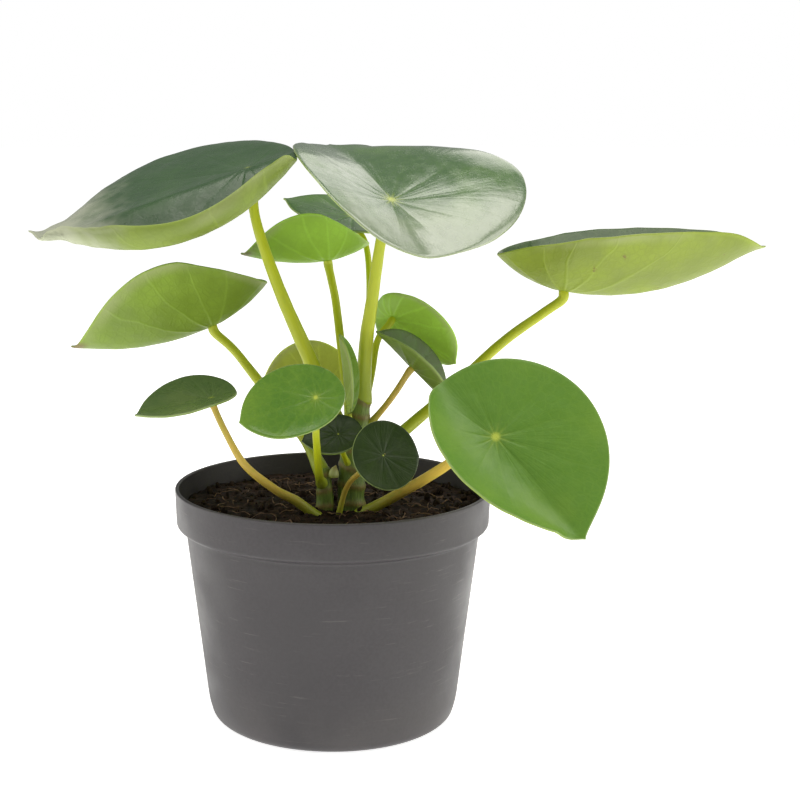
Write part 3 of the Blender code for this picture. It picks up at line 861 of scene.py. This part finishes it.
def stem_swell(rings, seed):
    """A stem's radius: swollen and corky at the rings that old leaves have left."""
    def swell(radius, gone, length, angle):
        corky = 0.0
        for ring in rings:
            tilt = 0.9 * math.cos(angle + ring)
            corky = max(corky, math.exp(-((gone - ring + tilt) / 1.1) ** 2))
        place = Vector((math.cos(angle) * 1.4, math.sin(angle) * 1.4, gone / 5 + seed))
        lumps = noise.fractal(place, 1, 2, 3)
        return radius * (1 + 0.09 * corky + 0.09 * lumps), corky
    return swell


def make_stems():
    routes = {"main_stem": (smooth_route(MAIN_STEM, 24), (6, 13, 20, 27, 34, 40, 45)),
              "side_shoot": (smooth_route(SIDE_SHOOT, 20), (5, 11, 17))}
    skin = stem_skin("stem_skin", STEM_LOW, STEM_HIGH)
    for name, (route, rings) in routes.items():
        data = tube_mesh(name + "_skin", route, 32, stem_swell(rings, len(name)))
        show(name + "_skin", data, [skin], [name])


def make_bract():
    """A pale pointed scale at the top of the side shoot."""
    foot, height = BRACT_SIZE
    base = Vector(BRACT_AT) - Vector((0, 0, height / 2))
    route = []
    for i in range(13):
        t = i / 12
        lean = Vector((0.9 * t * t, -0.7 * t * t, height * t))
        radius = foot * (1 - t ** 1.7) * (0.75 + 0.5 * t * (1 - t)) + 0.12
        route.append(Vector((*(base + lean), radius)))
    data = tube_mesh("bract_scale", route, 20, stalk_swell(5))
    skin = stalk_skin("bract_skin", BRACT_FOOT, BRACT_MIDDLE, BRACT_TIP)
    show("bract_scale", data, [skin], ["bract"])


# ---- leaves ---------------------------------------------------------------------------------
def turn_of(leaf):
    return Euler([math.radians(a) for a in (leaf.roll, -leaf.pitch, leaf.heading)], "XYZ")


def reach(leaf, angle):
    """From the stalk to the margin of the flat blade, at an angle from the tip."""
    drip = leaf.drip * leaf.length
    half_length = (leaf.length - drip) / 2
    half_width = leaf.halves[0] if math.sin(angle) >= 0 else leaf.halves[1]
    ahead = half_length - leaf.inset * leaf.length
    c, s = math.cos(angle), math.sin(angle)
    q = (c / half_length) ** 2 + (s / half_width) ** 2
    root = math.sqrt(q - (ahead * s / (half_length * half_width)) ** 2)
    turn = math.atan2(s, c)
    point = math.exp(-(abs(turn) / DRIP_SPREAD) ** DRIP_SHARPNESS)
    return (ahead * c / half_length ** 2 + root) / q + drip * point


def bent(leaf, x, y):
    """A point of the flat blade, x toward the tip and y to the left, on the bent blade, and the
    blade's normal there. The midrib bends first, then each half turns up from it."""
    forward = x >= 0
    end = leaf.length * ((1 - leaf.inset) if forward else leaf.inset)
    rib = math.radians(leaf.rib[0] if forward else leaf.rib[1])
    curl = math.radians(leaf.curl if forward else 0)

    def slope(part):
        return rib * part + curl * max(0.0, (part - CURL_START) / (1 - CURL_START)) ** 2

    along = rise = 0.0
    for i in range(RIB_STEPS):
        angle = slope(abs(x) / end * (i + 0.5) / RIB_STEPS)
        along += math.cos(angle) * x / RIB_STEPS
        rise += math.sin(angle) * abs(x) / RIB_STEPS
    lean = slope(abs(x) / end) * (1 if forward else -1)

    side = 0 if y >= 0 else 1
    half_length = leaf.length * (1 - leaf.drip) / 2
    ahead = half_length - leaf.inset * leaf.length
    fullness = END_WIDTH + (1 - END_WIDTH) * max(0.0, 1 - ((x - ahead) / half_length) ** 2)
    width = leaf.halves[side] * fullness
    fold, cup = math.radians(leaf.fold[side]), math.radians(leaf.cup[side])

    def tilt(distance):
        start = 1 - math.exp(-distance / (FOLD_START * leaf.halves[side]))
        return fold * start + cup * min(distance / width, CUP_LIMIT) ** leaf.edge

    across = lift = 0.0
    for i in range(RIB_STEPS):
        angle = tilt(abs(y) * (i + 0.5) / RIB_STEPS)
        across += math.cos(angle) * y / RIB_STEPS
        lift += math.sin(angle) * abs(y) / RIB_STEPS
    last = tilt(abs(y)) * (1 if y >= 0 else -1)

    rib_up = Vector((-math.sin(lean), 0.0, math.cos(lean)))
    point = Vector((along, across, rise)) + rib_up * lift
    normal = rib_up * math.cos(last) - Vector((0.0, math.sin(last), 0.0))
    return point, normal


def vein_valley(angle, share):
    """How deep in a vein's valley a point of the blade lies, from 0 to 1."""
    ridge = 0.5 + 0.5 * math.cos(VEIN_COUNT * angle)
    return ridge ** 4 * min(1.0, share * 6) * (1 - share) ** 0.6


def blade_mesh(name, leaf, seed):
    """Rings of points about the stalk, pressed to the blade's outline and bent, on both sides
    of the blade, with a round margin. The spokes crowd toward the drip tip."""
    spokes, rings = (168, 30) if leaf.length > 60 else (112, 20)
    half = BLADE / 2
    shares = [i / rings * 0.988 for i in range(1, rings + 1)]
    profile = [(share, 1.0) for share in shares] + [(0.995, 0.72), (1.0, 0.0)]
    mesh = bmesh.new()
    lay, ray = [], []

    def vertex(angle, share, side):
        flat = reach(leaf, angle) * share
        x, y = flat * math.cos(angle), flat * math.sin(angle)
        point, normal = bent(leaf, x, y)
        wave = WAVE_RELIEF * share ** 2 * noise.noise(Vector((x, y, seed * 7.0)) / 13)
        wave += RIPPLE_RELIEF * noise.noise(Vector((x, y, seed * 5.0)) / 5)
        valley = VEIN_RELIEF * vein_valley(angle, share)
        lay.append((x, y, seed * 40.0))
        ray.append((math.cos(angle), math.sin(angle), share))
        return mesh.verts.new((point + normal * (half * side + wave - valley)) * MM)

    turns = [math.tau * k / spokes for k in range(spokes)]
    angles = [turn - SPOKE_CROWDING * math.sin(turn) for turn in turns]
    top = [[vertex(0, 0, 1)]]
    top += [[vertex(angle, share, height) for angle in angles] for share, height in profile]
    under = [[vertex(0, 0, -1)]]
    under += [[vertex(angle, share, -height) for angle in angles]
              for share, height in profile[:-1]]
    for first, second in zip(top, top[1:]):
        bridge(mesh, first, second, 0)
    for first, second in zip(under, under[1:]):
        bridge(mesh, first, second, 1)
    bridge(mesh, under[-1], top[-1], 1)
    data = finished(mesh, name)
    data.transform(Matrix.LocRotScale(Vector(leaf.at) * MM, turn_of(leaf), None))
    store(data, "lay", lay)
    store(data, "ray", ray)
    return data


def stalk_route(name, leaf):
    """The stalk's own points, and its end in the middle of the blade: square to it, or, on a
    basal leaf, in line with the midrib."""
    inward = Vector((1, 0, 0)) if name in BASAL else Vector((0, 0, 1))
    inward.rotate(turn_of(leaf))
    radius = leaf.stalk[-1][3]
    tip = Vector(leaf.at) - inward * (leaf.inset * leaf.length if name in BASAL else 0.1)
    bend = tip - inward * 2 * radius
    return smooth_route(leaf.stalk + ((*bend, radius), (*tip, radius * 0.8)), 14)


def make_leaves():
    skins = {False: stalk_skin("stalk_skin", STALK_LOW, YELLOW_GREEN, YELLOW_GREEN),
             True: stalk_skin("stalk_skin_amber", STALK_LOW, AMBER, AMBER_HIGH)}
    for seed, (name, leaf) in enumerate(LEAVES.items()):
        look = LOOKS[name]
        data = blade_mesh(name + "_blade", leaf, seed)
        show(name + "_blade", data,
             [blade_top(name, look), blade_under(name, look)], [name])
        data = tube_mesh(name + "_petiole", stalk_route(name, leaf), 20, stalk_swell(seed))
        show(name + "_petiole", data,
             [skins[leaf.amber]], [name + "_stalk"])


# ---- stage ----------------------------------------------------------------------------------
def make_floor():
    mesh = bmesh.new()
    bmesh.ops.create_grid(mesh, x_segments=8, y_segments=8, size=TABLE_SIZE)
    floor = bpy.data.objects.new("floor", finished(mesh, "floor"))
    floor.data.materials.append(floor_paint())
    bpy.context.scene.collection.objects.link(floor)


def softbox(name, at, target, size, radiance):
    """A soft light of a given width, height and radiance, facing a point."""
    data = bpy.data.lights.new(name, "AREA")
    data.shape = "RECTANGLE"
    data.size, data.size_y = size
    data.energy = radiance * math.pi * size[0] * size[1]
    data.color = WARM_WHITE
    light = bpy.data.objects.new(name, data)
    light.location = at
    light.rotation_euler = (Vector(at) - Vector(target)).to_track_quat("Z", "Y").to_euler()
    light.visible_camera = False
    bpy.context.scene.collection.objects.link(light)


def make_studio():
    make_floor()
    world = bpy.data.worlds.new("studio")
    world.use_nodes = True
    tree = world.node_tree
    backdrop = tree.nodes["Background"]
    backdrop.inputs["Color"].default_value = (1.0, 1.0, 1.0, 1.0)
    seen = tree.nodes.new("ShaderNodeLightPath").outputs["Is Camera Ray"]
    strength = tree.nodes.new("ShaderNodeMapRange")
    strength.inputs["To Min"].default_value = ROOM_LIGHT
    strength.inputs["To Max"].default_value = 1.0
    tree.links.new(seen, strength.inputs["Value"])
    tree.links.new(strength.outputs[0], backdrop.inputs["Strength"])
    bpy.context.scene.world = world
    for name, settings in SOFTBOXES.items():
        softbox(name, *settings)
    bpy.context.scene.view_settings.view_transform = "Standard"


def make_camera():
    data = bpy.data.cameras.new("camera")
    data.sensor_width = CAMERA_SENSOR
    data.lens = CAMERA_LENS
    data.shift_x = CAMERA_SHIFT
    camera = bpy.data.objects.new("camera", data)
    camera.location = CAMERA_AT
    camera.rotation_euler = (math.radians(90 - CAMERA_DOWN), 0.0, 0.0)
    bpy.context.scene.collection.objects.link(camera)
    bpy.context.scene.camera = camera


make_pot()
make_soil()
make_stems()
make_bract()
make_leaves()
make_studio()
make_camera()

bpy.context.view_layer.update()
